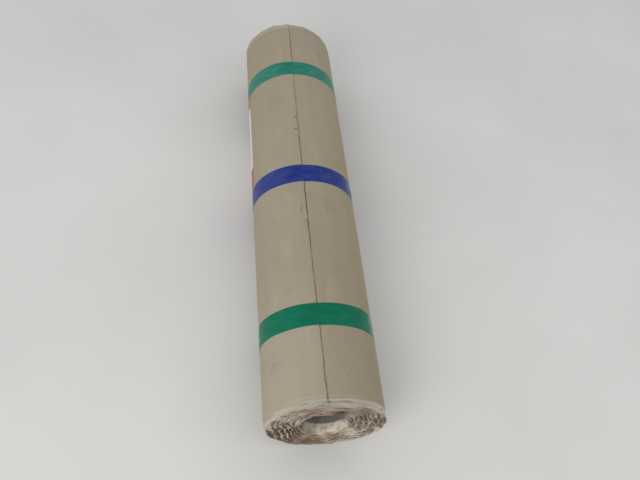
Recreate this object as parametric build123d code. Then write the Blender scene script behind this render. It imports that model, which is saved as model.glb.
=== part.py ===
from build123d import *
import math
import os

# A roll of paper-faced roofing membrane lying on its side, in millimetres.
# The roll's axis runs along Y with the end that faces the viewer at -Y, +X is to
# the right of someone who looks along +Y, and Z is up from the floor at zero.
# Angles round the roll are in degrees from the top, growing towards +X.

# Sheet and core, the sizes such a roll is sold by. The core is cut as long as the
# sheet is wide.
sheet_width = 1000.0
sheet_length = 20000.0
layer_thickness = 1.5
core_bore_diameter = 76.2
core_wall = 4.0

# The lying roll sags to an oval, with this height for each unit of width
height_to_width_ratio = 0.88
free_edge_angle = -3.5

# Release paper past the sheet's edges: its layers stand in bunches, in a shallow dish
paper_overhang = 22.0
paper_inset = 1.2
paper_edge_setback = 3.0
layers_in_bunch = 3
dish_depth = 7.0
bunch_step = 3.0
bunch_turn_angle = 137.5
far_end_turn_angle = 60.0

# Adhesive tape bands, one at mid-length and one this far in from each edge of the sheet
tape_width = 48.0
tape_thickness = 0.25
tape_edge_distance = 157.0
tape_ramp = 8.0

# Label on the left side, with a gap to the tape at each end, wrapping down from its
# upper edge
label_middle_tape_gap = 9.0
label_far_tape_gap = 16.0
label_girth = 212.0
label_thickness = 0.2
label_upper_angle = -78.0

# Arcs that make up each curve round the roll
arcs_in_turn = 12

# Sides of the fan that cuts the label out of a skin all round the roll
fan_sides = 4

core_radius = core_bore_diameter / 2 + core_wall
winding_radius = math.sqrt(core_radius**2 + sheet_length * layer_thickness / math.pi)
sag = (1 - height_to_width_ratio) / (1 + height_to_width_ratio)
tape_spacing = sheet_width / 2 - tape_edge_distance


def turn_radius(radius, angle, start):
    """Radius of a turn that ends at this radius, by the angle from where it starts."""
    return radius - layer_thickness * (1 - (angle - start) / 360)


def sagged(radius, angle):
    """Place across the roll of a point of the round winding, once the roll has sagged."""
    outwards = (radius - core_radius) / (winding_radius - core_radius)
    across = radius * (1 + sag * outwards)
    upright = radius * (1 - sag * outwards)
    turn = math.radians(angle)
    return across * math.sin(turn), upright * math.cos(turn)


rest_radius = turn_radius(winding_radius, 180, free_edge_angle)
axis_height = tape_thickness - sagged(rest_radius, 180)[1]


def across_roll(place):
    """Plane across the roll, with its origin on the roll's axis."""
    return Plane(origin=(0, place, axis_height), x_dir=(1, 0, 0), z_dir=(0, -1, 0))


def closed_wire(outline, place):
    """This outline as a wire across the roll."""
    return across_roll(place) * Wire(outline.edges())


def wall(outline, near, far):
    """Faces that follow the outline from one place along the roll to another."""
    return Shell.extrude(closed_wire(outline, near), (0, far - near, 0)).faces()


def land(outer, inner, place):
    """Flat face across the roll between two outlines."""
    return [Face(closed_wire(outer, place), [closed_wire(inner, place)])]


def prism(outline, near, far):
    """Solid with this section across the roll, between two places along its axis."""
    return extrude(across_roll(near) * make_face(outline), amount=far - near, dir=(0, 1, 0))


def turn_outline(radius, start):
    """Closed outline of one turn, with a layer's step where the turn starts and ends."""

    def place(angle):
        return sagged(turn_radius(radius, angle, start), angle)

    half_step = 180 / arcs_in_turn
    outline = Line(place(start + 360), place(start))
    for arc in range(arcs_in_turn):
        angle = start + 2 * arc * half_step
        outline += ThreePointArc(place(angle), place(angle + half_step), place(angle + 2 * half_step))
    return outline


def outer_skin(thickness, near, far):
    """A skin of this thickness that lies all round the outermost turn."""
    outside = turn_outline(winding_radius + thickness, free_edge_angle)
    inside = turn_outline(winding_radius, free_edge_angle)
    return prism(outside, near, far) - prism(inside, near, far)


def bunch_height(bunch, bunches):
    """How far a bunch of paper layers stands past the sheet's edge, from the outside in."""
    inwards = bunch / bunches
    return paper_overhang - dish_depth * inwards - bunch_step * (bunch % 2)


def paper_bunches(end):
    """Outlines of one end's bunches with how far each stands out, from the outside in."""
    outer_radius = winding_radius - paper_inset
    bunch_width = layers_in_bunch * layer_thickness
    bunches = int((outer_radius - layer_thickness - core_radius) / bunch_width)
    setback_angle = math.degrees(paper_edge_setback / winding_radius)
    for bunch in range(bunches + 1):
        start = free_edge_angle - setback_angle + bunch * bunch_turn_angle
        if bunch and end > 0:
            start += far_end_turn_angle
        outline = turn_outline(outer_radius - bunch * bunch_width, start)
        yield outline, bunch_height(bunch, bunches)


def membrane_coil():
    """The wound sheet and its paper, one solid with a free edge, a bore and turned ends.

    Each end is a flight of rings, one inside the other: a wall along each outline, and
    a land between it and the next one in, down to the bore.
    """
    edge = sheet_width / 2
    body = turn_outline(winding_radius, free_edge_angle)
    bore = Circle(core_radius)
    faces = wall(body, -edge, edge)
    mouths = []
    for end in (-1, 1):
        outer, place = body, end * edge
        for outline, height in paper_bunches(end):
            lip = end * (edge + height)
            faces += land(outer, outline, place) + wall(outline, place, lip)
            outer, place = outline, lip
        faces += land(outer, bore, place)
        mouths.append(place)
    faces += wall(bore, *mouths)
    return Solid(Shell(faces))


def core_tube():
    """The paperboard tube that the sheet is wound on."""
    board = Circle(core_radius) - Circle(core_bore_diameter / 2)
    return extrude(across_roll(-sheet_width / 2) * board, amount=sheet_width, dir=(0, 1, 0))


def tape_band(centre):
    """A band of tape drawn round the roll, bridging the step at the free edge."""
    near, far = centre - tape_width / 2, centre + tape_width / 2
    outer_radius = winding_radius + tape_thickness
    ramp_end = free_edge_angle + math.degrees(tape_ramp / winding_radius)
    ramp = Polyline(
        sagged(outer_radius, free_edge_angle),
        sagged(turn_radius(outer_radius, ramp_end, free_edge_angle), ramp_end),
        sagged(outer_radius - layer_thickness, free_edge_angle),
        close=True,
    )
    inside = turn_outline(winding_radius, free_edge_angle)
    bridge = prism(ramp, near, far) - prism(inside, near, far)
    return outer_skin(tape_thickness, near, far) + bridge


def label():
    """The label, a thin sheet stuck to the outermost turn below its upper edge."""
    near = tape_width / 2 + label_middle_tape_gap
    far = tape_spacing - tape_width / 2 - label_far_tape_gap
    girth_angle = math.degrees(label_girth / winding_radius)
    fan = [(0, 0)]
    for step in range(fan_sides + 1):
        across, upright = sagged(winding_radius, label_upper_angle - girth_angle * step / fan_sides)
        fan.append((2 * across, 2 * upright))
    return outer_skin(label_thickness, near, far) & prism(Polyline(*fan, close=True), near, far)


parts = {
    "membrane_coil": membrane_coil(),
    "core_tube": core_tube(),
    "tape_near_green": tape_band(-tape_spacing),
    "tape_middle_blue": tape_band(0),
    "tape_far_green": tape_band(tape_spacing),
    "label": label(),
}

os.makedirs("parts", exist_ok=True)
for name, solid in parts.items():
    export_step(solid, f"parts/{name}.step")
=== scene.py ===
import math

import bpy
import numpy as np
from mathutils import Matrix, Vector


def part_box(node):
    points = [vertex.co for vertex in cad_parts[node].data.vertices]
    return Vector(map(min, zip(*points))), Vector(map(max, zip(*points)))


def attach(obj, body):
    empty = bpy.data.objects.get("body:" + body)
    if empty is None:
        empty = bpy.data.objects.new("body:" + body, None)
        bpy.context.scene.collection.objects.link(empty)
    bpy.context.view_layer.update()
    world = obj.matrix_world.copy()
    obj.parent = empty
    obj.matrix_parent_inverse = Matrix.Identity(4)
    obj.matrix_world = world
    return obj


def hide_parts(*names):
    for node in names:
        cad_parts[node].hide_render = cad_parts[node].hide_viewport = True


# Looks of a roll of paper-faced roofing membrane. Lengths are in metres, and angles
# round the roll are in degrees from its top, growing towards +X. A radius is that of
# the round winding, before the lying roll sags to an oval.

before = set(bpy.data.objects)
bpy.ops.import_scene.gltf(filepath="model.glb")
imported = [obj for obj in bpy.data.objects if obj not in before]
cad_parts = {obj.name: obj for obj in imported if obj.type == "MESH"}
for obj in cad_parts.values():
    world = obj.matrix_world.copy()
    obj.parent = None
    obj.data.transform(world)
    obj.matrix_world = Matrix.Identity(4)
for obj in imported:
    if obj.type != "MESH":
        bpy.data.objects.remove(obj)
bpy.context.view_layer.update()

# Sheet and winding
LAYER = 0.0015
PAPER = 0.00022
SHEET_LENGTH = 20.0
HEIGHT_TO_WIDTH = 0.88
FREE_EDGE_ANGLE = -3.5
CORE_WALL = 0.004

core_low, core_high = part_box("core_tube")
coil_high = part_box("membrane_coil")[1]
HALF_SHEET = core_high.y
OVERHANG = coil_high.y - HALF_SHEET
AXIS_Z = (core_low.z + core_high.z) / 2
CORE_RADIUS = (core_high.z - core_low.z) / 2
ROLL_RADIUS = math.sqrt(CORE_RADIUS**2 + SHEET_LENGTH * LAYER / math.pi)
TURNS = (ROLL_RADIUS - CORE_RADIUS) / LAYER
SAG = (1 - HEIGHT_TO_WIDTH) / (1 + HEIGHT_TO_WIDTH)
NEAR, FAR = -1, 1


# Places and fields. A field is made of this many waves, with their lengths spread between
# these shares of the one that is asked for.

WAVE_COUNT = 26
SHORTEST_WAVE, LONGEST_WAVE = 0.65, 1.6


def degrees_along(length):
    """Angle that this length takes up round the outside of the roll."""
    return math.degrees(length / ROLL_RADIUS)


def waves(seed, wavelength):
    """Smooth random field over space, about one high, with bumps this far apart."""
    random = np.random.default_rng(seed)
    ways = random.normal(size=(WAVE_COUNT, 3))
    ways /= np.linalg.norm(ways, axis=1)[:, None]
    lengths = wavelength * random.uniform(SHORTEST_WAVE, LONGEST_WAVE, WAVE_COUNT)
    ways *= (math.tau / lengths)[:, None]
    phases = random.uniform(0, math.tau, WAVE_COUNT)

    def field(x, y, z):
        total = 0
        for way, phase in zip(ways, phases):
            total = total + np.cos(way[0] * x + way[1] * y + way[2] * z + phase)
        return total * math.sqrt(2 / WAVE_COUNT)

    return field


def bump(angle, centre, width):
    """One at an angle round the roll, falling smoothly to nothing this far from it."""
    away = np.abs((angle - centre + 180) % 360 - 180) / width
    return np.where(away < 1, (1 - np.minimum(away, 1) ** 2) ** 2, 0)


def smooth(share):
    """The share kept between 0 and 1, with a gentle start and end."""
    share = np.clip(share, 0, 1)
    return share * share * (3 - 2 * share)


def cycle(phase):
    """A wave that comes back once for each whole number."""
    return np.sin(math.tau * phase)


def outward_share(radius):
    """How far out in the winding a radius is: 0 at the core and 1 at the outermost turn."""
    return (radius - CORE_RADIUS) / (ROLL_RADIUS - CORE_RADIUS)


def sagged(radius, angle):
    """Place across the sagged roll of a point of the round winding."""
    outwards = outward_share(radius)
    turn = np.radians(angle)
    across = radius * (1 + SAG * outwards) * np.sin(turn)
    upright = radius * (1 - SAG * outwards) * np.cos(turn)
    return across, upright


def points(radius, angle, along):
    """Points in the frame, from places in the winding."""
    across, upright = sagged(radius, angle)
    across, along, upright = np.broadcast_arrays(across, along, upright + AXIS_Z)
    return np.stack([across, along, upright], -1)


# The outermost turn: its free edge wanders from end to end, and it has faint dents

SEAM_SHIFT = 0.1
SEAM_BOW = 1.2
SEAM_BOW_LENGTH = 0.9
SEAM_SLANT = 1.2
SEAM_WANDER = 0.12
SKIN_INSET = 0.00025
DENT = 0.00016
RIPPLE = 0.00005
HIGHEST_DENT = 0.0002

# How plainly the free edge shows, at places from the near end to the far end
SEAM_PLACES = [-0.50, -0.33, -0.21, -0.15, -0.03, 0.05, 0.14, 0.20, 0.32, 0.44, 0.50]
SEAM_STRENGTHS = [0.85, 0.6, 0.55, 0.95, 1.15, 0.65, 0.75, 0.35, 0.35, 0.75, 0.6]

lumps = waves(3, 0.17)
ripples = waves(4, 0.045)
seam_wander = waves(5, 0.06)


def seam_strength(along):
    """How plainly the free edge shows at this place along the roll."""
    return np.interp(along, SEAM_PLACES, SEAM_STRENGTHS)


def seam_angle(along):
    """Where the sheet's free edge lies."""
    bow = -SEAM_BOW * np.cos(math.pi * along / SEAM_BOW_LENGTH)
    wander = SEAM_WANDER * seam_wander(0, along, 0)
    return FREE_EDGE_ANGLE + SEAM_SHIFT + bow + SEAM_SLANT * along + wander


def skin(turned, angle, along):
    """Radius of the outermost turn this far round from its free edge, with its dents."""
    radius = ROLL_RADIUS - LAYER * (1 - turned / 360)
    across, upright = sagged(radius, angle)
    dents = DENT * lumps(across, along, upright) + RIPPLE * ripples(across, along, upright)
    return radius - SKIN_INSET + np.minimum(dents, HIGHEST_DENT)


def outer_radius(angle, along):
    """Radius of the outermost turn, which starts at the seam a layer lower than it ends."""
    turned = (angle - seam_angle(along)) % 360.0
    return skin(turned, angle, along)


# Crushed paper past the sheet's edges. Places round an end are given as the angle at
# their middle and how far they reach each way.

GAPING = {NEAR: (98, 44), FAR: (250, 60)}
RUFFLING = {NEAR: (-102, 62), FAR: (70, 75)}
PRESSING = {NEAR: (-97, 80), FAR: (60, 110)}
TOP = (0, 80)
MOUTH_TOP = (0, 70)
UPPER_LEFT = (-42, 50)
LEFT = (-100, 65)
UNDERSIDE = (190, 70)
LOWER_DISH = (195, 80)

# How loose the paper is all round, and how much looser where it gapes and underneath
LOOSENESS = {NEAR: (0.5, 1.7, 0.35), FAR: (0.6, 0.7, 0.0)}

# Turns gather in bunches, and leaves in groups, of this width
BUNCH = 0.0105
LEAF_GROUP = 0.0034
LEAF_GROUPING = 0.35

# How far each kind of crumple moves the paper across the roll
SWELL = 0.0010
FLUTE = 0.0007
CRINKLE = 0.00012
SPLIT = 0.0010
LIP_LEAN = 0.0012
BORE_FLARE = 0.0056
DROOP = 0.0024
CURL = 0.0014
PRESSED_OVER = 0.0052

# The lip's shape: a dish with slumped places, uneven from bunch to bunch and torn here and
# there. A turn's step is how far on from the last turn its rags or tears are read.
DISH_DEPTH = 0.0062
LIP_SHORTFALL = 0.0010
SHOULDER_SLUMP = 0.0030
MOUTH_SLUMP = 0.0026
BUNCH_RISE = 0.0016
BROAD_RISE = 0.0007
RAGGED_RISE = 0.00045
RAGGED_TURN_STEP = 0.0022
TEAR = 0.0018
TORN_TURN_STEP = 0.006
TEAR_THRESHOLD = 1.5
SHORTEST_LIP = 0.004
LIP_MARGIN = 0.0004

# The collar, which is the outermost paper: it drops to a crease at the sheet's edge, and
# has folds beyond, each with its place past the edge, its depth and its width. The folds'
# fields are read on a ring of this radius, this far along at each end.
COLLAR_DROP = 0.0009
COLLAR_DROP_LENGTH = 0.0012
EDGE_CREASE = (0.0022, 0.0008, 0.0012)
COLLAR_FOLDS = ((0.0075, 0.0010, 0.0016), (0.0125, 0.0008, 0.0018))
FOLD_WANDER = 0.0026
DEEPEST_FOLD = 0.0011
FOLD_RING = 0.1
FOLD_RING_PLACE = 0.3

swells = {NEAR: waves(11, 0.052), FAR: waves(21, 0.055)}
flutes = {NEAR: waves(12, 0.014), FAR: waves(22, 0.016)}
shifts = {NEAR: waves(13, 0.075), FAR: waves(23, 0.075)}
tears = {NEAR: waves(14, 0.011), FAR: waves(24, 0.011)}
crinkles = {NEAR: waves(15, 0.006), FAR: waves(25, 0.006)}
splits = {NEAR: waves(16, 0.0085), FAR: waves(26, 0.0095)}
curls = {NEAR: waves(17, 0.034), FAR: waves(27, 0.036)}
fold_wander = waves(71, 0.11)
fold_depth = waves(72, 0.06)


def gaping(angle, side):
    """Where round the end the paper's layers have been pushed apart."""
    return bump(angle, *GAPING[side])


def ruffling(angle, side):
    """Where round the end the paper's edges are crumpled against each other."""
    return bump(angle, *RUFFLING[side])


def looseness(angle, side):
    """How far apart the paper's layers stand round the end, from tight to wide open."""
    anywhere, gaped, underneath = LOOSENESS[side]
    return anywhere + gaped * gaping(angle, side) + underneath * bump(angle, *UNDERSIDE)


def freedom(outwards):
    """How freely a turn's paper moves: the outermost turn is held by those inside it."""
    return 1 - 0.7 * outwards**8


def bunch_phase(radius, angle, out, side):
    """Where a point is in its bunch of turns, as a whole number for each bunch."""
    across, upright = sagged(radius, angle)
    return radius / BUNCH + 0.6 * shifts[side](across, out, upright)


def crushed(radius, angle, out, side):
    """Radius of a point of the paper this far past the sheet's edge, once it is crushed."""
    across, upright = sagged(radius, angle)
    outwards = np.clip(outward_share(radius), 0, 1)
    grow = np.clip(out / OVERHANG, 0, 1) ** 1.3
    phase = bunch_phase(radius, angle, out, side)
    gape = gaping(angle, side)
    calm = freedom(outwards)
    gather = (0.5 + 0.25 * bump(angle, *TOP) - 0.2 * gape) * calm
    bunching = BUNCH * gather / math.tau * cycle(phase)
    grouping = LEAF_GROUP * LEAF_GROUPING / math.tau * cycle(phase * BUNCH / LEAF_GROUP)
    loose = looseness(angle, side)
    swell = SWELL * loose * calm * swells[side](across, out, upright)
    flute = FLUTE * loose**1.5 * calm * flutes[side](across, out * 0.6, upright)
    crinkle = CRINKLE * crinkles[side](across, out, upright)
    ruffled = gape + 1.1 * ruffling(angle, side)
    split = SPLIT * ruffled * calm * splits[side](across, out * 0.3, upright)
    lean = -LIP_LEAN * outwards**4 * (1 - bump(angle, *LEFT))
    flare = BORE_FLARE * np.exp(-8 * outwards) * (0.64 + 0.36 * np.sin(np.radians(angle)) ** 2)
    return radius + grow * (bunching + grouping + swell + flute + crinkle + split + lean + flare)


def tip_curl(radius, angle, share, side):
    """How far a leaf bends in, this share of the way up it.

    Its tip droops, and where the end is pressed it lies over the gap.
    """
    across, upright = sagged(radius, angle)
    outwards = np.clip(outward_share(radius), 0, 1)
    down = np.cos(np.radians(angle))
    held = (1 - outwards**6) * np.where(down > 0, smooth(outwards / 0.25), 1.0)
    tip = (DROOP * down + CURL * curls[side](across, 0, upright)) * held
    pressed = bump(angle, *PRESSING[side])
    tip = tip + PRESSED_OVER * pressed * np.sin(0.8 * math.pi * outwards) ** 0.6
    return tip * np.clip((share - 0.5) / 0.5, 0, 1) ** 1.6


def fold_shape(out, middle, width):
    """One along the middle of a fold, falling off on both sides of it."""
    return np.exp(-(((out - middle) / width) ** 2))


def collar_folds(angle, out, side):
    """How deep the outermost paper is creased just past the sheet's edge and folded beyond."""
    turn = np.radians(angle)
    across, upright = FOLD_RING * np.sin(turn), FOLD_RING * np.cos(turn)
    along = side * FOLD_RING_PLACE
    middle, depth, width = EDGE_CREASE
    crease = depth * fold_shape(out, middle, width)
    crease = crease - COLLAR_DROP * smooth(1 - out / COLLAR_DROP_LENGTH)
    folds = 0
    for middle, depth, width in COLLAR_FOLDS:
        line = middle + FOLD_WANDER * fold_wander(across, along + middle * 9, upright)
        strength = np.clip(0.5 + 0.7 * fold_depth(across, along + middle * 7, upright), 0, 1.2)
        folds = folds + depth * strength * fold_shape(out, line, width)
    return np.minimum(crease + folds, DEEPEST_FOLD)


def collar_radius(radius, angle, out, share, side):
    """Radius of the outermost paper past the sheet's edge, where the sheet has this radius."""
    shaped = crushed(radius - COLLAR_DROP, angle, out, side) - collar_folds(angle, out, side)
    return np.minimum(shaped - tip_curl(ROLL_RADIUS, angle, share, side), radius)


def lip_height(radius, angle, turn, side):
    """How far the paper of this turn stands past the sheet's edge."""
    across, upright = sagged(radius, angle)
    outwards = np.clip(outward_share(radius), 0, 1)
    shallow = 1 - 0.3 * bump(angle, *LOWER_DISH)
    dish = OVERHANG - LIP_SHORTFALL - DISH_DEPTH * (1 - outwards**1.4) * shallow
    slump = SHOULDER_SLUMP * bump(angle, *UPPER_LEFT) * outwards**2
    slump = slump + MOUTH_SLUMP * bump(angle, *MOUTH_TOP) * (1 - outwards) ** 2
    bunch = BUNCH_RISE * cycle(bunch_phase(radius, angle, 0, side) + 0.2) * freedom(outwards)
    broad = BROAD_RISE * swells[side](across * 1.5, 0, upright * 1.5)
    ragged = RAGGED_RISE * (1 + 2.2 * gaping(angle, side))
    ragged = ragged * tears[side](across, turn * RAGGED_TURN_STEP, upright)
    torn = tears[side](across * 1.6, turn * TORN_TURN_STEP, upright * 1.6)
    torn = TEAR * np.maximum(0, torn - TEAR_THRESHOLD)
    height = dish - slump + bunch + broad + ragged - torn
    return np.clip(height, SHORTEST_LIP, OVERHANG - LIP_MARGIN)


# Mesh making


def mesh_object(name, vertices, faces, material_list, face_materials=None, sharp_angle=50):
    """A smooth-shaded mesh in the scene, with edges kept sharp above this angle."""
    mesh = bpy.data.meshes.new(name)
    mesh.from_pydata(vertices.reshape(-1, 3).tolist(), [], faces.tolist())
    for material in material_list:
        mesh.materials.append(material)
    if face_materials is not None:
        mesh.polygons.foreach_set("material_index", face_materials.astype(np.int32))
    mesh.polygons.foreach_set("use_smooth", np.ones(len(faces), bool))
    mesh.update()
    mesh.set_sharp_from_angle(angle=math.radians(sharp_angle))
    made = bpy.data.objects.new(name, mesh)
    bpy.context.scene.collection.objects.link(made)
    return made


def grid_faces(rows, columns, closed=False, first=0, flip=False):
    """Quads of a grid of points, as an array with a row for each.

    A closed grid's last row meets its first one, and so do its columns.
    """
    row = np.arange(rows if closed else rows - 1)[:, None]
    column = np.arange(columns if closed else columns - 1)[None, :]
    next_row, next_column = (row + 1) % rows, (column + 1) % columns
    corners = [
        row * columns + column,
        row * columns + next_column,
        next_row * columns + next_column,
        next_row * columns + column,
    ]
    if flip:
        corners.reverse()
    return np.stack(np.broadcast_arrays(*corners), -1).reshape(-1, 4) + first


def grid_normals(grid):
    """Direction at each point of a grid that stands square to it."""
    down = np.gradient(grid, axis=0)
    across = np.gradient(grid, axis=1)
    normals = np.cross(across, down)
    return normals / np.maximum(np.linalg.norm(normals, axis=-1, keepdims=True), 1e-12)


def thin_sheet(name, grid, thickness, material, centred=True):
    """A closed thin sheet on a grid of points. Not centred, it lies to the grid's outer side."""
    rows, columns = grid.shape[:2]
    normals = grid_normals(grid)
    low, high = (-0.5, 0.5) if centred else (0.0, 1.0)
    thickness = np.broadcast_to(thickness, (rows, columns))[..., None]
    top = grid + normals * thickness * high
    under = grid + normals * thickness * low
    count = rows * columns
    index = np.arange(count).reshape(rows, columns)
    rim = np.concatenate([index[0, :-1], index[:-1, -1], index[-1, :0:-1], index[:0:-1, 0]])
    after = np.roll(rim, -1)
    faces = np.concatenate([
        grid_faces(rows, columns),
        grid_faces(rows, columns, first=count, flip=True),
        np.stack([rim, rim + count, after + count, after], -1),
    ])
    vertices = np.concatenate([top.reshape(-1, 3), under.reshape(-1, 3)])
    return mesh_object(name, vertices, faces, [material], sharp_angle=60)


def store(piece, name, values):
    """Keeps a number for each of the piece's points, for its material to read."""
    attribute = piece.data.attributes.new(name, "FLOAT", "POINT")
    attribute.data.foreach_set("value", values.astype(np.float32).ravel())


def store_both(sheet, name, values):
    """Keeps the same numbers for the two faces of a thin sheet."""
    store(sheet, name, np.concatenate([values, values]))


def finish_piece(piece, slot, *replaced):
    """Fixes the piece to the roll and hides the solids that it stands for. Its slot is not used."""
    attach(piece, "root")
    if replaced:
        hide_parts(*replaced)


# Materials


def linear(value):
    """Amount of light for a screen value of 0 to 255."""
    value = value / 255
    return value / 12.92 if value <= 0.04045 else ((value + 0.055) / 1.055) ** 2.4


def srgb(red, green, blue):
    """Colour from screen values of 0 to 255."""
    return linear(red), linear(green), linear(blue), 1.0


# Where a Mix node that mixes colours has its two colours and its result
MIX_FIRST, MIX_SECOND, MIX_RESULT = 6, 7, 2


class Look:
    """A material's nodes, with short ways to add the ones used here."""

    def __init__(self, name, roughness, specular):
        self.material = bpy.data.materials.new(name)
        self.material.use_nodes = True
        self.tree = self.material.node_tree
        self.shader = self.tree.nodes["Principled BSDF"]
        self.shader.inputs["Roughness"].default_value = roughness
        self.shader.inputs["Specular IOR Level"].default_value = specular
        self.place = self.add("ShaderNodeTexCoord").outputs["Object"]

    def add(self, kind, **settings):
        """A new node of this kind."""
        made = self.tree.nodes.new(kind)
        for name, value in settings.items():
            setattr(made, name, value)
        return made

    def feed(self, socket, value):
        """Links a socket to another node's output, or gives it a plain value."""
        if isinstance(value, bpy.types.NodeSocket):
            self.tree.links.new(value, socket)
        else:
            socket.default_value = value

    def math(self, operation, first, second=0.0):
        """One step of arithmetic."""
        made = self.add("ShaderNodeMath", operation=operation)
        self.feed(made.inputs[0], first)
        self.feed(made.inputs[1], second)
        return made.outputs[0]

    def times(self, first, second):
        """The product of two values."""
        return self.math("MULTIPLY", first, second)

    def plus(self, first, second):
        """Two values added up."""
        return self.math("ADD", first, second)

    def stored(self, name):
        """The number that the mesh keeps under this name."""
        return self.add("ShaderNodeAttribute", attribute_name=name).outputs["Fac"]

    def along(self):
        """Place along the roll."""
        split = self.add("ShaderNodeSeparateXYZ")
        self.feed(split.inputs[0], self.place)
        return split.outputs["Y"]

    def span(self, value, low, high, to_low=0.0, to_high=1.0):
        """The value carried over from one range to another, and held at its ends."""
        made = self.add("ShaderNodeMapRange")
        for name, given in (("Value", value), ("From Min", low), ("From Max", high),
                            ("To Min", to_low), ("To Max", to_high)):
            self.feed(made.inputs[name], given)
        return made.outputs["Result"]

    def noise(self, scale, detail=3.0, offset=0.0, low=0.3, high=0.7, stretch=(1, 1, 1)):
        """Noise with its cells this many to the metre, 0 below the low and 1 above the high.

        Two noises with unlike offsets don't match each other.
        """
        mapping = self.add("ShaderNodeMapping")
        self.feed(mapping.inputs["Vector"], self.place)
        mapping.inputs["Scale"].default_value = stretch
        mapping.inputs["Location"].default_value = (offset, offset * 0.7, -offset)
        made = self.add("ShaderNodeTexNoise")
        self.feed(made.inputs["Vector"], mapping.outputs[0])
        made.inputs["Scale"].default_value = scale
        made.inputs["Detail"].default_value = detail
        return self.span(made.outputs["Fac"], low, high)

    def lines(self, scale, stretch, offset, width):
        """Thin wandering lines, where a slow noise passes through its middle."""
        swirl = self.noise(scale, 2.0, offset, 0.0, 1.0, stretch)
        off_line = self.math("ABSOLUTE", self.math("SUBTRACT", swirl, 0.5))
        return self.span(off_line, 0.0, width, 1.0, 0.0)

    def wrinkles(self):
        """Thin raised lines, few and broken, as where paper has been creased and smoothed."""
        lines = self.lines(11.0, (1, 0.5, 1), 23.0, 0.012)
        return self.times(lines, self.noise(26.0, 2.0, 29.0, 0.5, 0.6))

    def spot(self, centre, size, hardness):
        """From 1 at a place on the object to 0 this far from it, in each direction."""
        mapping = self.add("ShaderNodeMapping", vector_type="POINT")
        self.feed(mapping.inputs["Vector"], self.place)
        mapping.inputs["Location"].default_value = [-c / s for c, s in zip(centre, size)]
        mapping.inputs["Scale"].default_value = [1 / s for s in size]
        length = self.add("ShaderNodeVectorMath", operation="LENGTH")
        self.feed(length.inputs[0], mapping.outputs[0])
        return self.span(length.outputs["Value"], hardness, 1.0, 1.0, 0.0)

    def mix(self, share, first, second):
        """A colour this share of the way from the first to the second."""
        made = self.add("ShaderNodeMix", data_type="RGBA")
        self.feed(made.inputs["Factor"], share)
        self.feed(made.inputs[MIX_FIRST], first)
        self.feed(made.inputs[MIX_SECOND], second)
        return made.outputs[MIX_RESULT]

    def tinted(self, colour, where, strength, tint):
        """The colour with some of a tint laid over it."""
        return self.mix(self.times(where, strength), colour, tint)

    def finish(self, colour, height=None, depth=0.0, roughness=None):
        """The finished material: its colour, and where given its relief and roughness."""
        self.feed(self.shader.inputs["Base Color"], colour)
        if roughness is not None:
            self.feed(self.shader.inputs["Roughness"], roughness)
        if height is not None:
            relief = self.add("ShaderNodeBump")
            self.feed(relief.inputs["Height"], height)
            relief.inputs["Strength"].default_value = 1.0
            relief.inputs["Distance"].default_value = depth
            self.feed(self.shader.inputs["Normal"], relief.outputs[0])
        return self.material


def on_roll(angle, along):
    """A place on the roll's surface, as three numbers."""
    radius = float(outer_radius(np.array(float(angle)), np.array(float(along))))
    return points(radius, float(angle), float(along)).tolist()


# Marks on the paper, as angle, place along the roll, size across and along, and strength
DARK_MARKS = [
    (-6.2, 0.171, 0.0055, 0.0035, 0.75),
    (-6.6, 0.133, 0.0075, 0.0045, 0.85),
    (-15.0, 0.176, 0.003, 0.003, 0.3),
    (-16.0, 0.135, 0.004, 0.003, 0.3),
    (-9.0, -0.090, 0.0028, 0.010, 0.5),
    (-10.2, -0.100, 0.0028, 0.008, 0.5),
    (-6.4, -0.128, 0.0022, 0.005, 0.8),
    (-41.0, -0.113, 0.006, 0.003, 0.4),
    (-30.5, -0.285, 0.005, 0.003, 0.45),
    (-55.0, -0.157, 0.005, 0.003, 0.25),
    (-26.0, 0.06, 0.004, 0.005, 0.25),
    (31.0, 0.215, 0.007, 0.003, 0.22),
    (48.0, -0.19, 0.004, 0.009, 0.25),
    (-2.2, -0.511, 0.004, 0.003, 0.8),
]
BROAD_STAINS = [
    (22.0, -0.085, 0.018, 0.020, 0.30),
    (35.0, 0.05, 0.030, 0.018, 0.16),
    (-30.0, 0.23, 0.022, 0.035, 0.18),
    (60.0, -0.31, 0.030, 0.050, 0.22),
    (-60.0, -0.42, 0.030, 0.030, 0.20),
    (120.0, 0.12, 0.040, 0.060, 0.25),
    (-140.0, -0.2, 0.040, 0.050, 0.25),
]
PALE_MARKS = [
    (-4.9, -0.108, 0.0030, 0.010, 0.8),
    (-5.6, -0.119, 0.0022, 0.005, 0.7),
    (-3.6, 0.152, 0.0020, 0.006, 0.5),
    (-6.4, 0.147, 0.0025, 0.004, 0.45),
    (14.0, -0.462, 0.004, 0.002, 0.4),
]

# How far out from its middle a mark stays whole, and how much deeper it goes than across
MARK_HARDNESS = 0.3
MARK_DEPTH = 2

# Each kind of mark with how fine its ragged grain is, and its colour
MARKS = (
    (BROAD_STAINS, 70.0, srgb(122, 104, 78)),
    (PALE_MARKS, 500.0, srgb(214, 205, 186)),
    (DARK_MARKS, 420.0, srgb(66, 55, 44)),
)


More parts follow.
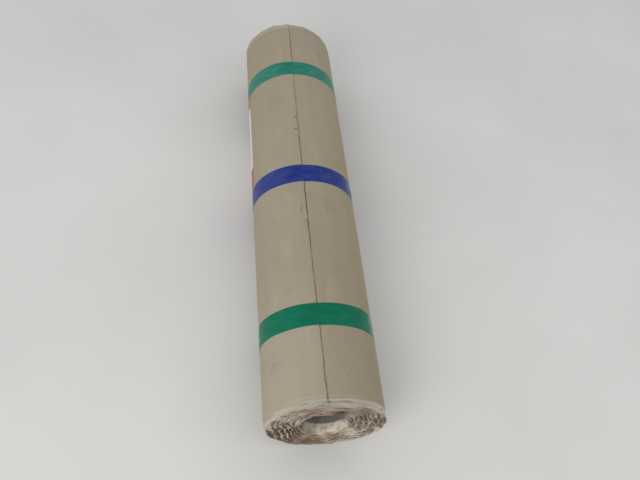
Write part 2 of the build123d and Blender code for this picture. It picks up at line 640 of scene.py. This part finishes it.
def kraft_colour(look, broad, flank):
    """Kraft paper, with painted shade browning it after the free edge and warming its right flank,
    and painted light at its near left.

    Over that lie streaks, blotches, fibres, pulp, specks and rubs.
    """
    colour = look.mix(broad, srgb(157, 144, 122), srgb(165, 154, 134))
    # Painted shade: the kraft is browned just after the free edge, fading over half a metre and
    # strongest towards the near end.
    painted_shade_after_edge = look.span(look.stored("after_edge"), 0.0, 0.5, 0.34, 0.0)
    painted_shade_after_edge = look.times(painted_shade_after_edge, look.span(look.along(), 0.15, -0.45, 0.1, 1.0))
    colour = look.mix(painted_shade_after_edge, colour, srgb(139, 121, 94))
    # Painted shade: the right flank is tinted warmer and browner.
    colour = look.tinted(colour, flank, 0.32, srgb(150, 127, 90))
    # Painted light: a paler, greyer patch on the near left.
    painted_light_near_left = look.spot(on_roll(-42, -0.44), (0.10, 0.24, 0.10), 0.0)
    colour = look.tinted(colour, painted_light_near_left, 0.4, srgb(182, 177, 164))
    streaks = look.noise(46.0, 3.0, 3.0, stretch=(1, 0.06, 1))
    colour = look.tinted(colour, streaks, 0.22, srgb(141, 126, 101))
    blotches = look.noise(17.0, 5.0, 7.0, 0.55, 0.78)
    colour = look.tinted(colour, blotches, 0.16, srgb(126, 106, 80))
    fibres = look.noise(900.0, 4.0, 1.0, stretch=(1, 0.22, 1))
    colour = look.tinted(colour, fibres, 0.16, srgb(180, 169, 148))
    pulp = look.noise(420.0, 5.0, 13.0, 0.5, 0.72, (0.5, 1, 0.5))
    colour = look.tinted(colour, pulp, 0.16, srgb(124, 110, 88))
    specks = look.noise(310.0, 2.0, 21.0, 0.735, 0.765)
    colour = look.tinted(colour, specks, 0.45, srgb(92, 76, 58))
    rubs = look.noise(30.0, 6.0, 17.0, 0.6, 0.72, (1, 0.3, 1))
    return look.tinted(colour, rubs, 0.14, srgb(186, 177, 158))


def collar_colour(look, flank):
    """The paler paper past the sheet's edges, with painted shade in thin lines along its creases."""
    bands = look.noise(70.0, 4.0, 2.0, stretch=(0.35, 2.2, 0.35))
    colour = look.mix(bands, srgb(158, 148, 130), srgb(188, 181, 166))
    colour = look.tinted(colour, flank, 0.7, srgb(212, 201, 182))
    # Painted shade in thin lines along the collar's creases.
    painted_crease_shade = look.lines(34.0, (0.22, 4.2, 0.22), 31.0, 0.035)
    return look.tinted(colour, painted_crease_shade, 0.85, srgb(110, 101, 90))


def marked(look, colour):
    """The colour with the stains and marks listed above."""
    for marks, grain, tint in MARKS:
        for angle, along, across, length, strength in marks:
            size = (across, length, across * MARK_DEPTH)
            mark = look.spot(on_roll(angle, along), size, MARK_HARDNESS)
            mark = look.times(mark, look.noise(grain, 3.0, angle, 0.35, 0.6))
            colour = look.tinted(colour, mark, strength, tint)
    return colour


def seam_smeared_and_shaded(look, colour):
    """The colour darkened on the two sides of the free edge: just before it partly by a bitumen smear
    and partly by painted shade, and just after it by painted shadow of the step.
    """
    plain = look.stored("seam_strength")
    # Just before the free edge: partly a ragged bitumen smear, partly painted shade.
    smear_and_shade = look.span(look.stored("before_edge"), 0.0, 0.0032, 1.0, 0.0)
    smear_and_shade = look.times(smear_and_shade, look.noise(120.0, 4.0, 19.0, 0.45, 0.62, (1, 0.4, 1)))
    colour = look.tinted(colour, look.times(smear_and_shade, plain), 0.5, srgb(84, 70, 55))
    # Just after the free edge: painted shadow of the step.
    shade = look.span(look.stored("after_edge"), 0.0, 0.0022, 1.0, 0.0)
    return look.tinted(colour, look.times(shade, plain), 0.5, srgb(92, 79, 62))


def wrap_paper_look():
    """Brown kraft paper on the outside of the roll, smooth, with faint stains and creases."""
    look = Look("wrap_paper", roughness=0.62, specular=0.35)
    broad = look.noise(5.0, 2.0, stretch=(1, 0.35, 1))
    # The right flank, which carries painted shade on the kraft and a paler tint on the collar.
    flank = look.span(look.stored("after_edge"), 0.04, 0.13)
    flank = look.times(flank, look.span(look.stored("before_edge"), 0.15, 0.35))
    colour = kraft_colour(look, broad, flank)
    past_edge = look.span(look.stored("past_edge"), 0.0, 0.35, 0.0, 0.85)
    colour = look.mix(past_edge, colour, collar_colour(look, flank))
    colour = seam_smeared_and_shaded(look, marked(look, colour))
    fine = look.noise(800.0, 4.0, 5.0, 0.2, 0.8, (1, 0.4, 1))
    creases = look.noise(34.0, 4.0, 9.0, 0.2, 0.8, (1, 0.3, 1))
    height = look.plus(look.times(fine, 0.16), look.times(creases, 0.6))
    height = look.plus(height, look.times(look.wrinkles(), 0.35))
    roughness = look.span(broad, 0.0, 1.0, 0.55, 0.68)
    return look.finish(colour, height, 0.0006, roughness)


def end_paper_look():
    """The same paper's crumpled edges, brown to cream by each leaf's tone, with pale lips, partly
    torn paper and partly painted highlight, and painted shade deep between the leaves.
    """
    look = Look("end_paper", roughness=0.75, specular=0.2)
    colour = look.mix(look.stored("tone"), srgb(106, 80, 61), srgb(214, 205, 188))
    patches = look.noise(95.0, 4.0, 4.0, 0.4, 0.6)
    colour = look.tinted(colour, patches, 0.42, srgb(124, 101, 81))
    lip = look.stored("lip")
    # Pale lips: partly the fluffy torn paper, partly a painted highlight.
    colour = look.mix(look.span(lip, 0.85, 1.0, 0.0, 0.25), colour, srgb(206, 196, 175))
    # Painted shade deep between the leaves, darkening them towards their roots.
    colour = look.mix(look.span(lip, 0.0, 0.42, 0.6, 0.0), colour, srgb(82, 66, 52))
    fine = look.noise(900.0, 4.0, 5.0, 0.2, 0.8)
    creases = look.noise(220.0, 4.0, 9.0, 0.2, 0.8)
    return look.finish(colour, look.plus(look.times(fine, 0.2), creases), 0.0007)


def bitumen_look():
    """Black-brown bitumen at the sheet's cut edges."""
    look = Look("bitumen", roughness=0.55, specular=0.4)
    colour = look.mix(look.noise(160.0, 4.0), srgb(40, 33, 28), srgb(82, 68, 54))
    return look.finish(colour, look.noise(500.0, 4.0, 2.0, 0.2, 0.8), 0.0004)


def board_look():
    """Grey-brown wound paperboard, with the faint spiral joints of its plies."""
    look = Look("core_board", roughness=0.8, specular=0.2)
    colour = look.mix(look.noise(120.0, 5.0), srgb(98, 95, 89), srgb(117, 113, 105))
    joint = look.span(look.stored("ply"), 0.0, 0.06, 0.5, 0.0)
    colour = look.mix(joint, colour, srgb(54, 50, 45))
    return look.finish(colour, look.noise(800.0, 4.0, 6.0, 0.2, 0.8), 0.0003)


# How closely a tape's streaks come, by its share of the way round and across
STREAKS_ROUND = 9.0
STREAKS_ACROSS = 0.7
STREAK_SCALE = 2.2


def tape_look(name, deep, pale, dust_and_sheen):
    """Glossy tape: streaks in relief and painted reflection, trapped air, dust, painted sheen at its
    sides and painted shade at the free edge.
    """
    look = Look(name, roughness=0.32, specular=0.14)
    place = look.add("ShaderNodeCombineXYZ")
    look.feed(place.inputs["X"], look.times(look.stored("round_tape"), STREAKS_ROUND))
    look.feed(place.inputs["Y"], look.times(look.stored("across_tape"), STREAKS_ACROSS))
    streak = look.add("ShaderNodeTexNoise")
    look.feed(streak.inputs["Vector"], place.outputs[0])
    streak.inputs["Scale"].default_value = STREAK_SCALE
    streak.inputs["Detail"].default_value = 4.0
    # The streaks' deeper and paler colours are painted reflection; their relief is in the height
    # below.
    bands = look.span(streak.outputs["Fac"], 0.35, 0.65)
    colour = look.mix(bands, deep, pale)
    bubbles = look.noise(150.0, 5.0, 8.0, 0.6, 0.72)
    colour = look.tinted(colour, bubbles, 0.22, dust_and_sheen)
    dust = look.noise(24.0, 4.0, 11.0, 0.45, 0.8)
    colour = look.tinted(colour, dust, 0.12, dust_and_sheen)
    # Painted shade along the step where the tape crosses the free edge.
    colour = look.tinted(colour, look.stored("painted_step_shade"), 0.08, srgb(10, 30, 30))
    # Painted sheen: the tape is paler at its left, and has whitish streaks at its right.
    colour = look.tinted(colour, look.stored("painted_sheen_left"), 0.16, dust_and_sheen)
    sheen_streaks = look.noise(36.0, 5.0, 27.0, 0.42, 0.6, (1.0, 0.7, 1.4))
    sheen_streaks = look.times(sheen_streaks, look.stored("painted_sheen_right"))
    colour = look.tinted(colour, sheen_streaks, 0.5, srgb(150, 168, 158))
    height = look.plus(bubbles, look.times(bands, 0.6))
    roughness = look.span(dust, 0.0, 1.0, 0.27, 0.5)
    return look.finish(colour, height, 0.00012, roughness)


# The label's red bars and blank ruled lines, as shares of its length and of its girth
LABEL_BARS = ((-0.1, 0.20), (0.93, 1.1))
LABEL_LINES = (0.3, 0.42, 0.54, 0.66, 0.78)
LABEL_LINE_WIDTH = 0.006
LABEL_LINE_ENDS = (0.12, 0.88)
PRINT_EDGE = 0.002


def label_look():
    """A plain printed label: pale stock with a red bar at each end and blank ruled lines."""
    look = Look("label_print", roughness=0.42, specular=0.4)
    along = look.stored("label_along")
    down = look.stored("label_down")

    def band(value, low, high):
        """One between two places, with soft edges."""
        rise = look.span(value, low - PRINT_EDGE, low + PRINT_EDGE)
        return look.times(rise, look.span(value, high - PRINT_EDGE, high + PRINT_EDGE, 1.0, 0.0))

    colour = look.mix(look.noise(40.0, 3.0), srgb(222, 216, 208), srgb(234, 229, 222))
    red = look.mix(look.noise(260.0, 3.0, 4.0), srgb(172, 52, 50), srgb(184, 66, 62))
    for low, high in LABEL_BARS:
        colour = look.mix(band(along, low, high), colour, red)
    for low in LABEL_LINES:
        line = look.times(band(along, low, low + LABEL_LINE_WIDTH), band(down, *LABEL_LINE_ENDS))
        colour = look.mix(line, colour, srgb(128, 124, 122))
    grime = look.noise(30.0, 5.0, 3.0, 0.42, 0.75)
    colour = look.tinted(colour, grime, 0.4, srgb(166, 152, 130))
    scuffs = look.noise(75.0, 6.0, 6.0, 0.62, 0.7, (1, 0.4, 1))
    colour = look.tinted(colour, scuffs, 0.3, srgb(200, 190, 172))
    height = look.plus(look.noise(60.0, 3.0, 2.0, 0.2, 0.8), look.wrinkles())
    return look.finish(colour, height, 0.0003)


WRAP_PAPER = wrap_paper_look()
END_PAPER = end_paper_look()
BITUMEN = bitumen_look()


# The wound sheet: its outermost turn with the paper past its edges, and its dark cut ends

SEAM_SLOPE = 0.0012
SEAM_POINTS = 5
SEAM_POINT_STEP = 0.0009
WRAP_COLUMNS = 296
COLLAR_ROWS = 20
MIDDLE_ROWS = 195
CAP_ROWS = 6
CAP_INSET = 0.0003
CORE_GAP = 0.0001
DARK_ROOT = 0.3

wide_nicks = waves(73, 0.028)
small_nicks = waves(74, 0.012)


def seam_width(along):
    """Width of the dark slope at the free edge, which is nicked along its length."""
    nicks = 0.22 * wide_nicks(0, along, 0.3) + 0.14 * small_nicks(0, along, 0.3)
    return SEAM_SLOPE * seam_strength(along) * np.clip(1 + nicks, 0.45, 1.8)


def wrap_spread():
    """Angles of the wrap's columns round from its free edge, closer together beside it."""
    step = degrees_along(SEAM_POINT_STEP)
    reach = step * SEAM_POINTS
    beside = np.arange(SEAM_POINTS) * step
    even = np.linspace(reach, 360 - reach, WRAP_COLUMNS - 2 * SEAM_POINTS)
    return np.concatenate([beside, even, 360 - beside[::-1]])


def wrap_piece():
    """The outermost turn, the collar of paper past each of its edges, and the cut ends.

    Its rows go along the outside from the near lip to the far one, down inside the far
    collar and over the cut end to the core, and then the same way back at the near end.
    """
    spread = wrap_spread()
    rows, past_edge, strength, dark = [], [], [], []

    def add_row(radius, angle, along, past, is_dark):
        """Adds one row of points, with how far past the edge it is and whether it is bitumen."""
        rows.append(points(radius, angle, along))
        past_edge.append(np.broadcast_to(past, spread.shape))
        strength.append(np.broadcast_to(seam_strength(along), spread.shape))
        dark.append(is_dark)

    def outside(along):
        """Radius and angle of each column, leaving a slope's width at the free edge."""
        gap = degrees_along(seam_width(along))
        turned = gap + spread * (1 - gap / 360)
        angle = seam_angle(along) + turned
        return skin(turned, angle, along), angle

    def add_collar(side, shares, inner):
        """Adds the paper past an edge, on its outer or its inner face."""
        edge = side * HALF_SHEET
        radius, angle = outside(edge)
        height = lip_height(radius, angle, spread / 360, side)
        for share in shares:
            out = share * height
            shaped = collar_radius(radius, angle, out, share, side)
            if inner:
                shaped = shaped - PAPER
            add_row(shaped, angle, edge + side * out, share, inner and share < DARK_ROOT)

    def add_cut_end(side, shares):
        """Adds the sheet's cut end, by shares of the way from the collar to the core."""
        edge = side * HALF_SHEET
        radius, angle = outside(edge)
        for share in shares:
            reach = (radius - PAPER) * (1 - share) + (CORE_RADIUS + CORE_GAP) * share
            add_row(reach, angle, edge - side * CAP_INSET, 0.0, True)

    collar_shares = np.linspace(0, 1, COLLAR_ROWS) ** 1.2
    inwards = np.linspace(0, 1, CAP_ROWS)
    add_collar(NEAR, collar_shares[::-1], inner=False)
    for along in np.linspace(-HALF_SHEET, HALF_SHEET, MIDDLE_ROWS)[1:-1]:
        add_row(*outside(along), along, 0.0, False)
    add_collar(FAR, collar_shares, inner=False)
    add_collar(FAR, collar_shares[::-1], inner=True)
    add_cut_end(FAR, inwards)
    add_cut_end(NEAR, inwards[::-1])
    add_collar(NEAR, collar_shares, inner=True)

    grid = np.array(rows)
    count, columns = grid.shape[:2]
    dark_rows = np.array(dark)
    face_dark = np.repeat(dark_rows & np.roll(dark_rows, -1), columns).reshape(count, columns)
    outer_rows = COLLAR_ROWS * 2 + MIDDLE_ROWS - 2
    face_dark[COLLAR_ROWS // 2:outer_rows - COLLAR_ROWS, -1] = True
    wrap = mesh_object("membrane_wrap", grid, grid_faces(count, columns, closed=True),
                       [WRAP_PAPER, BITUMEN], face_dark.ravel(), sharp_angle=40)
    girth = math.tau * ROLL_RADIUS
    from_edge = np.broadcast_to(spread, (count, columns)) / 360 * girth
    store(wrap, "past_edge", np.array(past_edge))
    store(wrap, "before_edge", girth - from_edge)
    store(wrap, "after_edge", from_edge)
    store(wrap, "seam_strength", np.array(strength))
    finish_piece(wrap, "coil", "membrane_coil")


# The paper's inner turns, standing past the sheet's edges like the leaves of a book. They
# are thickened at the root where they are packed, and at the lip where it is folded.

# How finely each end is drawn: the step along a leaf, and how many rows stand on it
LEAF_STEP = {NEAR: 0.0019, FAR: 0.0030}
LEAF_ROWS = {NEAR: 7, FAR: 5}

# The near end's turns are two pieces, which meet at the middle one of these
FIRST_TURN, MEETING_TURN, LAST_TURN = 1.0, 17.0, TURNS - 0.25

PACKED = 0.0008
FOLDED_LIP = 0.00032
PRESSED_PITCH = 0.45
LEAF_INSET = 0.0003
COVERED_INSET = 0.0006
ROOT_DEPTH = 0.0012
PALE_ROOT_WIDTH = 0.007

# How many turns before the winding's inner end the innermost one begins, and how soon it
# is whole
INNERMOST_REACH = 1.35
INNERMOST_BLEND = 0.1

# Places round an end that its colours follow, as their middle and how far they reach
LOWER_MIDDLE = (190, 75)
LOWER_MOUTH = (190, 60)
# Where painted light falls on the roots at the mouth's lower side
PAINTED_LIGHT_MOUTH = (172, 100)
LIT_MOUTH = (168, 80)
SHADED_MOUTH = ((90, 35), (258, 50))
# Where painted shadow falls on the innermost turn
PAINTED_SHADOW_LEFT = (246, 52)
PAINTED_SHADOW_RIGHT = (92, 38)
# Where light and shade are painted onto the leaves at the left and right
PAINTED_LIGHT_AND_SHADE_LEFT = (-108, 75)
PAINTED_LIGHT_RIGHT = (100, 60)


def turn_run(first_turn, last_turn, step):
    """Places this far apart on the spiral, counted in turns from the free edge inwards."""
    run = [first_turn]
    while run[-1] < last_turn:
        radius = ROLL_RADIUS - LAYER * run[-1]
        run.append(run[-1] + step / (math.tau * radius))
    return np.array(run)


def leaf_radius(turns, radius, angle, out, share, side):
    """Radius of the leaves' points: crushed, bent over, and kept under the collar."""
    outermost = outer_radius(angle, side * HALF_SHEET)
    cover = collar_radius(outermost, angle, out, share, side)
    shaped = crushed(radius, angle, out, side)
    shaped = shaped - collar_folds(angle, out, side) * np.exp(-(turns - 1) / 3)
    shaped = shaped - tip_curl(radius, angle, share, side)
    return np.minimum(shaped, cover - PAPER - PRESSED_PITCH * (outermost - radius))


def leaf_thickness(turns, angle, share, side):
    """Thickness of the leaves, where several are pressed together or a lip is doubled."""
    ruffle, gape = ruffling(angle, side), gaping(angle, side)
    tight = 1 + 0.25 * ruffle - gape
    packed = PACKED * smooth((turns - 1) / 3) * tight
    packed = packed * smooth((0.84 + 0.12 * tight - share) / 0.5)
    return PAPER + packed + FOLDED_LIP * (ruffle + 0.6 * gape)


def innermost_turn(turns, angle):
    """Where painted shadow darkens the innermost turn at the mouth's sides, and where its root is lit
    from the mouth.
    """
    innermost = smooth((turns - TURNS + INNERMOST_REACH) / INNERMOST_BLEND)
    # Painted shadow on the innermost turn, at the mouth's left and right.
    painted_shadow = 0.9 * bump(angle, *PAINTED_SHADOW_LEFT) + 0.5 * bump(angle, *PAINTED_SHADOW_RIGHT)
    painted_shadow = innermost * painted_shadow
    shaded = sum(bump(angle, *place) for place in SHADED_MOUTH)
    lit = innermost * (0.22 + 0.5 * bump(angle, *LIT_MOUTH) - 0.22 * shaded)
    return painted_shadow, lit


def leaf_tones(turns, radius, angle, out, share, side):
    """How pale the leaves are, from 0 to 1.

    Each bunch of turns is pale on one side and dark on the other. The top of the end
    and the middle of its underside are brown, and the outermost and innermost turns
    pale, with painted light on the innermost at the mouth's lower side. On the left,
    light is painted into the roots and shade onto the lips, and on the right light is
    painted over the leaves. Painted shadow darkens the innermost turn at the mouth's
    sides.
    """
    across, upright = sagged(radius, angle)
    outwards = outward_share(radius)
    slow = waves(31 if side == NEAR else 41, 0.035)
    quick = waves(32 if side == NEAR else 42, 0.5)
    tone = 0.36 + 0.15 * slow(across, 0, upright) + 0.12 * quick(turns * 1.3, 0, 0)
    tone = tone + 0.40 * cycle(bunch_phase(radius, angle, 0, side) + 0.1)
    tone = tone - 0.48 * bump(angle, *TOP)
    tone = tone - 0.18 * bump(angle, *LOWER_MIDDLE) * bump(outwards * 90, 45, 40)
    tone = tone - 0.24 * bump(angle, *LOWER_MOUTH) * smooth(outwards / 0.2)
    tone = tone + 0.35 * smooth((outwards - 0.92) / 0.08)
    # Roots near the core are paler, with painted light on them at the mouth's lower side.
    pale_root = smooth(1 - (radius - CORE_RADIUS) / PALE_ROOT_WIDTH)
    tone = tone + (0.15 + 0.85 * bump(angle, *PAINTED_LIGHT_MOUTH)) * pale_root
    # Painted light and shade: on the left the roots are lightened and the lips darkened, and on the
    # right the leaves are lightened.
    painted_light_and_shade = bump(angle, *PAINTED_LIGHT_AND_SHADE_LEFT) * (0.42 - 0.52 * smooth((share - 0.6) / 0.4))
    painted_light_and_shade = painted_light_and_shade + 0.28 * bump(angle, *PAINTED_LIGHT_RIGHT)
    painted_shadow = innermost_turn(turns, angle)[0]
    tone = tone + 0.08 * swells[side](across, out * 3, upright) + painted_light_and_shade - 0.5 * painted_shadow
    return np.clip(tone, 0, 1)


def paper_turns(name, side, first_turn, last_turn):
    """A run of the spiral of paper at one end, as one long leaf."""
    turns = turn_run(first_turn, last_turn, LEAF_STEP[side])
    edge = side * HALF_SHEET
    angle = seam_angle(edge) + 360 * (1 - turns)
    radius = ROLL_RADIUS - LAYER * turns - LEAF_INSET - COVERED_INSET * np.exp(-(turns - 1) / 1.5)
    share = np.linspace(0, 1, LEAF_ROWS[side] + 1)[:, None]
    out = share * lip_height(radius, angle, turns, side)
    shaped = leaf_radius(turns, radius, angle, out, share, side)
    grid = points(shaped, angle, edge + side * (out - ROOT_DEPTH * (1 - share)))
    leaves = thin_sheet(name, grid, leaf_thickness(turns, angle, share, side), END_PAPER)
    painted_shadow, lit = innermost_turn(turns, angle)
    store_both(leaves, "tone", leaf_tones(turns, radius, angle, out, share, side))
    # The lip value sets the painted shade at the roots: painted shadow lowers it, and light at the
    # root raises it.
    store_both(leaves, "lip", np.maximum(share * (1 - painted_shadow), lit))
    finish_piece(leaves, "coil")


# Core, tapes and label

CORE_COLUMNS = 120
BORE_ROWS = 60
WORN_RIM = 0.0006
PLY_WIDTH = 0.11


def core_piece():
    """The paperboard tube, with worn rims."""
    angle = np.linspace(0, 360, CORE_COLUMNS, endpoint=False)
    inner, outer = CORE_RADIUS - CORE_WALL, CORE_RADIUS
    end, worn_end = HALF_SHEET, HALF_SHEET - WORN_RIM
    profile = [(inner, along) for along in np.linspace(-worn_end, worn_end, BORE_ROWS)]
    profile += [(inner + WORN_RIM, end), (outer - WORN_RIM, end), (outer, worn_end)]
    profile += [(outer, -worn_end), (outer - WORN_RIM, -end), (inner + WORN_RIM, -end)]
    radius, along = np.array(profile).T[:, :, None]
    faces = grid_faces(len(profile), CORE_COLUMNS, closed=True, flip=True)
    tube = mesh_object("core_board", points(radius, angle, along), faces, [board_look()])
    store(tube, "ply", (along / PLY_WIDTH + angle / 360) % 1)
    finish_piece(tube, "paperboard", "core_tube")


STUCK_GAP = 0.00004
TAPE_THICKNESS = 0.0002
TAPE_RAMP = 0.007
TAPE_COLUMNS = 300
TAPE_ROWS = 13
TAPE_TRIM = 0.0006

# How far a tape's edges wander, by a field read on a ring of this radius and reach
TAPE_WANDER = 0.00025
TAPE_RING = 0.11
TAPE_RING_REACH = 0.3

# Where a tape has painted sheen at its left and streaks of painted sheen at its right, as the middle
# and how far it reaches
SHEEN_LEFT = (-52, 40)
SHEEN_RIGHT = (74, 30)

# Each tape's node, material, deep, pale, and dust and sheen colours, and the seed of its edges
TAPES = (
    ("tape_near_green", "near_tape", srgb(0, 99, 68), srgb(0, 112, 84), srgb(44, 126, 104), 61),
    ("tape_middle_blue", "middle_tape", srgb(22, 40, 118), srgb(42, 60, 132), srgb(94, 106, 150), 62),
    ("tape_far_green", "far_tape", srgb(20, 114, 94), srgb(44, 128, 110), srgb(92, 148, 134), 63),
)


def taped_radius(angle, along):
    """Radius under a tape, which is drawn tight across the step at the free edge."""
    turned = (angle - seam_angle(along)) % 360.0
    ramp = degrees_along(TAPE_RAMP)
    bridged = np.where(turned < ramp, LAYER * (1 - smooth(turned / ramp)), 0.0)
    return outer_radius(angle, along) + bridged + STUCK_GAP


def tape_piece(node, look, seed):
    """A band of tape round the roll, with edges that wander a little."""
    low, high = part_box(node)
    centre, half = (low.y + high.y) / 2, (high.y - low.y) / 2
    turned = np.linspace(0, 360, TAPE_COLUMNS, endpoint=False)
    angle = seam_angle(centre) + turned
    turn = np.radians(angle)
    share = np.linspace(-1, 1, TAPE_ROWS)[:, None]
    wander = waves(seed, 0.12)(
        TAPE_RING * np.cos(turn), TAPE_RING_REACH * share, TAPE_RING * np.sin(turn))
    along = centre + share * (half - TAPE_TRIM) + TAPE_WANDER * wander * abs(share)
    radius = taped_radius(angle, along)
    outer, inner = points(radius + TAPE_THICKNESS, angle, along), points(radius, angle, along)
    grid = np.concatenate([outer, inner[::-1]])
    size = grid.shape[:2]
    tape = mesh_object("wrapped_" + node, grid, grid_faces(*size, closed=True), [look],
                       sharp_angle=40)
    ramp = degrees_along(TAPE_RAMP)
    for name, values in (("across_tape", np.concatenate([share, share[::-1]])),
                         ("round_tape", turned / 360),
                         ("painted_step_shade", bump(turned, ramp * 0.4, ramp * 0.9)),
                         ("painted_sheen_left", bump(angle, *SHEEN_LEFT)),
                         ("painted_sheen_right", bump(angle, *SHEEN_RIGHT))):
        store(tape, name, np.broadcast_to(values, size))
    finish_piece(tape, "blue_tape" if "blue" in node else "green_tape", node)


LABEL_UPPER_ANGLE = -78.0
LABEL_GIRTH = 0.212
LABEL_THICKNESS = 0.00012
LABEL_WRINKLE = 0.00004
LABEL_ROWS = 60
LABEL_COLUMNS = 70


def label_piece():
    """The label, stuck to the outermost turn from its upper edge down."""
    low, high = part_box("label")
    share = np.linspace(0, 1, LABEL_ROWS)[:, None]
    down = np.linspace(1, 0, LABEL_COLUMNS)
    angle = LABEL_UPPER_ANGLE - degrees_along(LABEL_GIRTH) * down
    along = low.y + (high.y - low.y) * share
    wrinkle = LABEL_WRINKLE * np.maximum(0, waves(51, 0.04)(down * 0.2, along, 0))
    radius = outer_radius(angle, along) + STUCK_GAP + wrinkle
    grid = points(radius, angle, along)
    label = thin_sheet("side_label", grid, LABEL_THICKNESS, label_look(), centred=False)
    store_both(label, "label_along", np.broadcast_to(share, radius.shape))
    store_both(label, "label_down", np.broadcast_to(down, radius.shape))
    finish_piece(label, "label", "label")


wrap_piece()
paper_turns("near_paper_outer", NEAR, FIRST_TURN, MEETING_TURN)
paper_turns("near_paper_inner", NEAR, MEETING_TURN, LAST_TURN)
paper_turns("far_paper", FAR, FIRST_TURN, LAST_TURN)
core_piece()
for node, look_name, deep, pale, dust_and_sheen, seed in TAPES:
    tape_piece(node, tape_look(look_name, deep, pale, dust_and_sheen), seed)
label_piece()


# Camera where the photograph was taken from, aimed at the roll and drawn in closer

PHOTO_FOCAL_PX = 440.0
PHOTO_CENTRE_PX = (320.0, 240.0)
ROLL_CENTRE_PX = (352.0, 268.0)
CLOSER = 1.42
SENSOR_WIDTH = 36.0
CAMERA_PLACE = Vector((-0.1708, -0.8891, 1.2008))
PITCH, YAW, ROLL = 0.8855, 0.1194, -0.0841


def photo_camera():
    """The photograph's camera, turned to put the roll in the middle of the frame."""
    level_reach = math.cos(PITCH)
    forward = Vector((math.sin(YAW) * level_reach, math.cos(YAW) * level_reach, -math.sin(PITCH)))
    level = Vector((math.cos(YAW), -math.sin(YAW), 0))
    down = forward.cross(level)
    right = math.cos(ROLL) * level + math.sin(ROLL) * down
    down = forward.cross(right)
    offset = [c - p for c, p in zip(ROLL_CENTRE_PX, PHOTO_CENTRE_PX)]
    aim = (forward * PHOTO_FOCAL_PX + right * offset[0] + down * offset[1]).normalized()
    right = (right - aim * right.dot(aim)).normalized()
    down = aim.cross(right)
    data = bpy.data.cameras.new("photo_camera")
    data.sensor_width = SENSOR_WIDTH
    data.lens = SENSOR_WIDTH * PHOTO_FOCAL_PX * CLOSER / (2 * PHOTO_CENTRE_PX[0])
    camera = bpy.data.objects.new("photo_camera", data)
    turn = Matrix((right, -down, -aim)).transposed()
    camera.matrix_world = Matrix.Translation(CAMERA_PLACE) @ turn.to_4x4()
    bpy.context.scene.collection.objects.link(camera)
    bpy.context.scene.camera = camera


# Plain floor and soft light

FLOOR_REACH = 40.0
SKY_COLOUR = (0.90, 0.92, 0.94, 1.0)
SKY_STRENGTH = 0.76


def area_lamp(name, place, target, size, energy, colour):
    """A round soft lamp that faces its target."""
    data = bpy.data.lights.new(name, "AREA")
    data.shape = "DISK"
    data.size = size
    data.energy = energy
    data.color = colour
    lamp = bpy.data.objects.new(name, data)
    lamp.location = place
    lamp.rotation_mode = "QUATERNION"
    lamp.rotation_quaternion = (Vector(target) - Vector(place)).to_track_quat("-Z", "Y")
    bpy.context.scene.collection.objects.link(lamp)


def studio():
    """The floor, the light from all round and two lamps."""
    look = Look("floor", roughness=1.0, specular=0.0)
    material = look.finish(look.mix(look.noise(2.0), srgb(214, 213, 210), srgb(222, 221, 218)))
    corners = np.array([(-1, -1, 0), (1, -1, 0), (1, 1, 0), (-1, 1, 0)]) * FLOOR_REACH
    floor = mesh_object("floor", corners, np.array([[0, 1, 2, 3]]), [material])
    world = bpy.data.worlds.new("studio")
    bpy.context.scene.world = world
    world.use_nodes = True
    background = world.node_tree.nodes["Background"]
    background.inputs["Color"].default_value = SKY_COLOUR
    background.inputs["Strength"].default_value = SKY_STRENGTH
    area_lamp("window", (-1.9, -2.4, 1.9), (0, -0.2, 0.1),
              size=2.2, energy=42, colour=(1.0, 0.99, 0.97))
    area_lamp("fill", (2.2, -1.2, 2.2), (0, 0, 0.1),
              size=2.0, energy=6, colour=(1.0, 0.92, 0.82))


photo_camera()
studio()
bpy.context.scene.view_settings.view_transform = "Standard"
